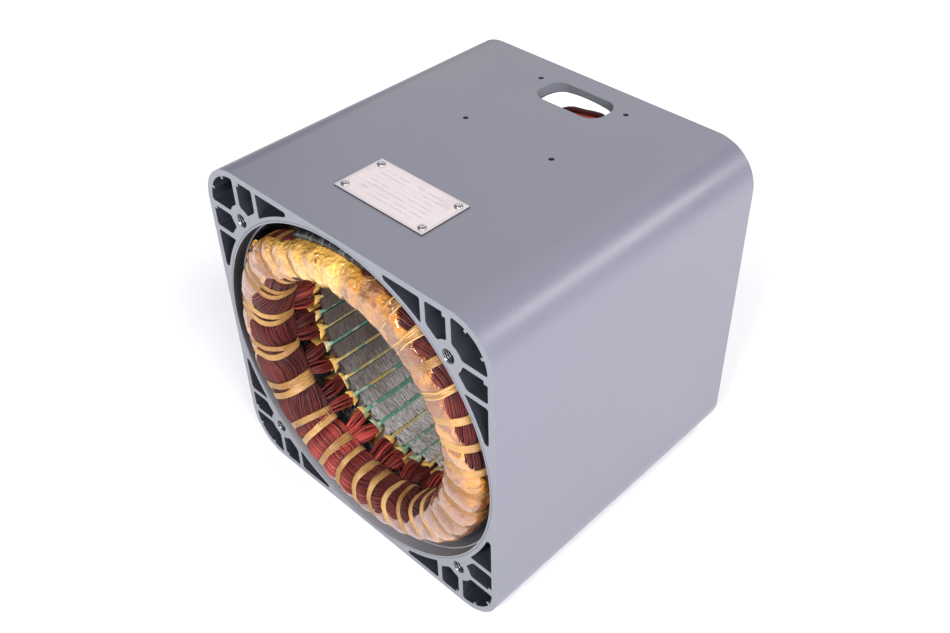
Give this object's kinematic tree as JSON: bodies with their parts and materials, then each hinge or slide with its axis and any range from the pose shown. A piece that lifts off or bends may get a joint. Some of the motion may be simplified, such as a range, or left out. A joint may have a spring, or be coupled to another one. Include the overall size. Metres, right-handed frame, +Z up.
{
  "type": "electric motor stator",
  "caption": "Square-frame motor stator: a webbed housing extrusion with a round bore, a slotted laminated core, copper windings laced at both ends and a bare nameplate.",
  "frame": {"origin": "centre of the housing's flat bottom, halfway along the housing and under the bore axis", "axes": "+Z up; the bore runs along Y with the open winding end facing -Y; +X to the right seen from that end"},
  "size_m": [0.26, 0.2558, 0.2623],
  "materials": {
    "housing_paint": "satin",
    "core_steel": "matte",
    "plate_metal": "brushed",
    "rivet_metal": "satin",
    "liner_paper": "varnished",
    "wedge_strip": "matte",
    "wire_enamel": "gloss",
    "lacing_cord": "varnished"
  },
  "bodies": {
    "root": {"housing": "housing_paint", "stator_core": "core_steel", "nameplate": "plate_metal", "nameplate_rivet_1": "rivet_metal", "nameplate_rivet_2": "rivet_metal", "nameplate_rivet_3": "rivet_metal", "nameplate_rivet_4": "rivet_metal", "slot_liners": "liner_paper", "slot_wedges": "wedge_strip", "coil_sides_phase_a": "wire_enamel", "coil_sides_phase_b": "wire_enamel", "coil_sides_phase_c": "wire_enamel", "front_coil_head_01": "wire_enamel", "front_coil_head_02": "wire_enamel", "front_coil_head_03": "wire_enamel", "front_coil_head_04": "wire_enamel", "front_coil_head_05": "wire_enamel", "front_coil_head_06": "wire_enamel", "front_coil_head_07": "wire_enamel", "front_coil_head_08": "wire_enamel", "front_coil_head_09": "wire_enamel", "front_coil_head_10": "wire_enamel", "front_coil_head_11": "wire_enamel", "front_coil_head_12": "wire_enamel", "rear_coil_head_01": "wire_enamel", "rear_coil_head_02": "wire_enamel", "rear_coil_head_03": "wire_enamel", "rear_coil_head_04": "wire_enamel", "rear_coil_head_05": "wire_enamel", "rear_coil_head_06": "wire_enamel", "rear_coil_head_07": "wire_enamel", "rear_coil_head_08": "wire_enamel", "rear_coil_head_09": "wire_enamel", "rear_coil_head_10": "wire_enamel", "rear_coil_head_11": "wire_enamel", "rear_coil_head_12": "wire_enamel", "front_lacing": "lacing_cord", "rear_lacing": "lacing_cord"}
  },
  "joints": []
}
